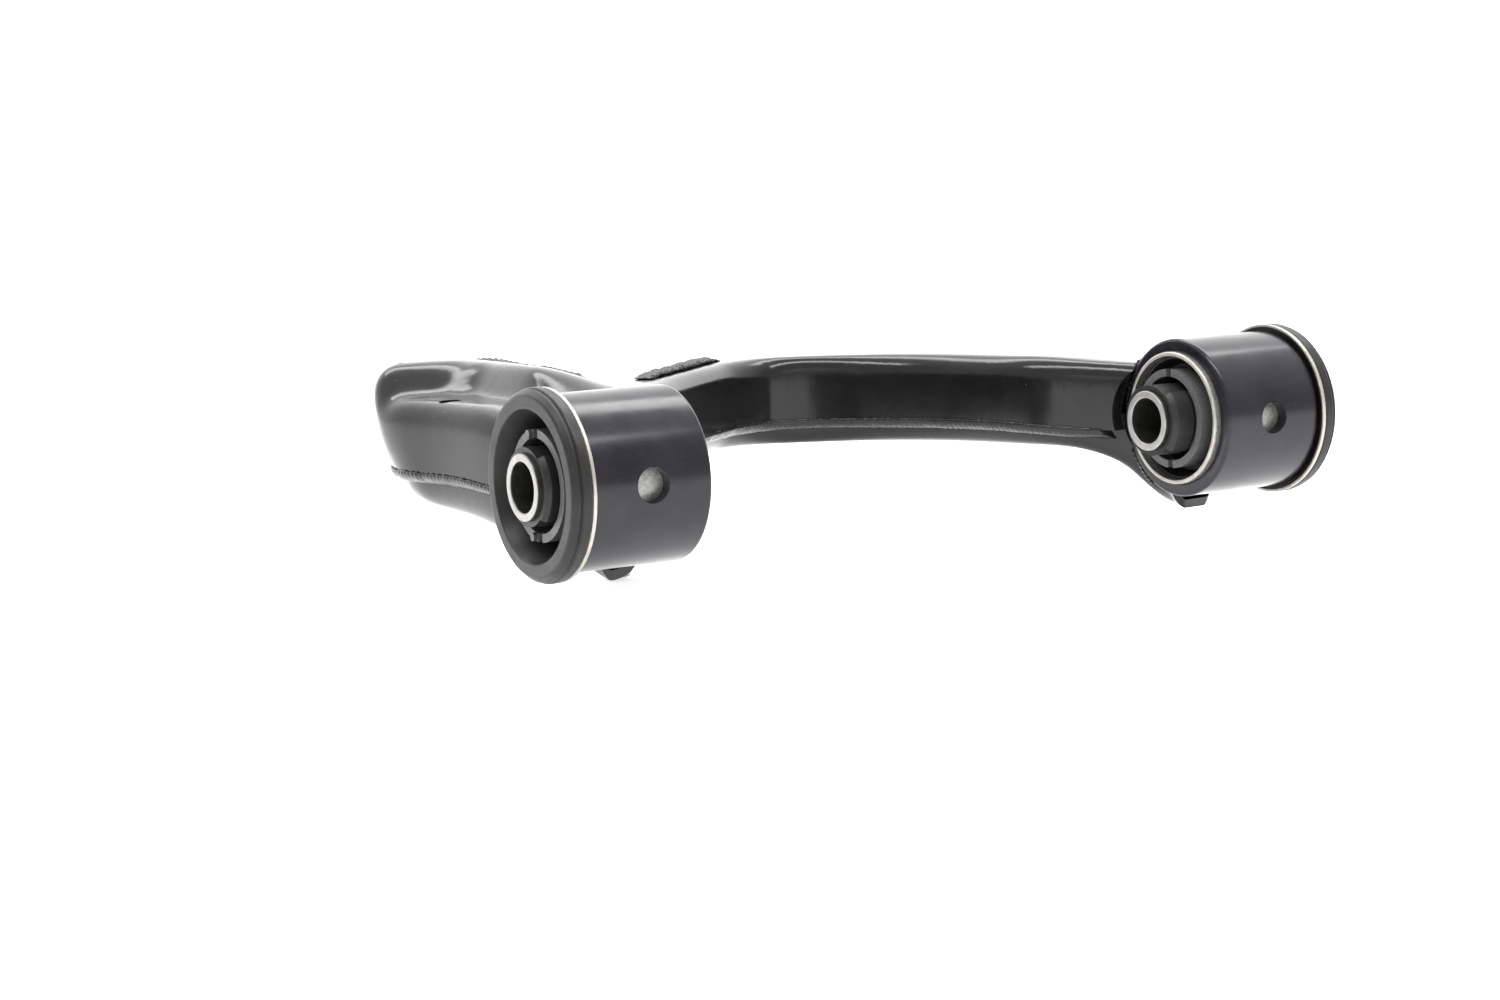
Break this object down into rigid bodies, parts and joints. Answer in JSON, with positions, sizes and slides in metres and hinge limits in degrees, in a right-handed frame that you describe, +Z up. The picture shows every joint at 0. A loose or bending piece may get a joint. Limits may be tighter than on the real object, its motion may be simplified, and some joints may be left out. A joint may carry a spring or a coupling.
{
  "type": "suspension control arm",
  "caption": "Boxed stamped-steel upper control arm: a wishbone with bonded rubber pivot bushings at its legs and a ball joint with a tapered stud at its apex.",
  "frame": {"origin": "centre of the front bushing, on the common axis of the bushing bores", "axes": "+X along the bushing axis from the front to the rear bushing, +Y across the arm to the ball joint, +Z up"},
  "size_m": [0.2772, 0.2384, 0.0861],
  "materials": {
    "arm_paint": "satin black electrocoat",
    "sleeve_paint": "smooth satin black electrocoat",
    "weld_paint": "painted weld bead",
    "forged_paint": "black on forged steel",
    "plated_steel": "zinc plated",
    "can_steel": "bare steel edge",
    "tube_steel": "faced steel tube",
    "stud_steel": "ground steel",
    "spring_wire": "drawn wire",
    "bushing_rubber": "moulded natural rubber",
    "boot_rubber": "smooth gaiter rubber",
    "ring_plastic": "glass-filled nylon",
    "liner_plastic": "acetal"
  },
  "bodies": {
    "arm": {"upper_shell": "arm_paint", "lower_shell": "arm_paint", "inner_seam_weld": "weld_paint", "outer_seam_weld": "weld_paint", "front_sleeve_weld": "weld_paint", "rear_sleeve_weld": "weld_paint", "front_slot_weld": "weld_paint", "rear_slot_weld": "weld_paint", "ball_joint_housing": "forged_paint", "ball_joint_cover": "plated_steel", "dust_boot": "boot_rubber", "boot_upper_clip": "spring_wire", "front_sleeve": "sleeve_paint", "rear_sleeve": "sleeve_paint", "front_bushing_can": "can_steel", "rear_bushing_can": "can_steel", "front_bushing_rubber": "bushing_rubber", "rear_bushing_rubber": "bushing_rubber", "front_bushing_inter_ring": "ring_plastic", "rear_bushing_inter_ring": "ring_plastic"},
    "front_tube": {"front_inner_tube": "tube_steel"},
    "rear_tube": {"rear_inner_tube": "tube_steel"},
    "seat_liner": {"ball_seat_liner": "liner_plastic"},
    "boot_foot": {"boot_lower_clip": "spring_wire"},
    "stud": {"ball_stud": "stud_steel"}
  },
  "joints": [
    {"name": "front_bushing_twist", "type": "hinge", "parent": "arm", "child": "front_tube", "pos_m": [0, 0, 0], "axis": [1, 0, 0], "range_deg": [-25, 25], "stiffness_Nm_per_rad": 60},
    {"name": "rear_bushing_twist", "type": "hinge", "parent": "arm", "child": "rear_tube", "pos_m": [0.222, 0, 0], "axis": [1, 0, 0], "range_deg": [-25, 25], "stiffness_Nm_per_rad": 60},
    {"name": "ball_joint_rock", "type": "hinge", "parent": "arm", "child": "seat_liner", "pos_m": [0.095, 0.176, -0.005], "axis": [1, 0, 0], "range_deg": [-16, 16], "deforming": ["dust_boot"]},
    {"name": "ball_joint_swing", "type": "hinge", "parent": "seat_liner", "child": "boot_foot", "pos_m": [0.095, 0.176, -0.005], "axis": [0, 1, 0], "range_deg": [-16, 16]},
    {"name": "ball_joint_spin", "type": "hinge", "parent": "boot_foot", "child": "stud", "pos_m": [0.095, 0.176, -0.005], "axis": [0, 0, 1], "continuous": true}
  ]
}
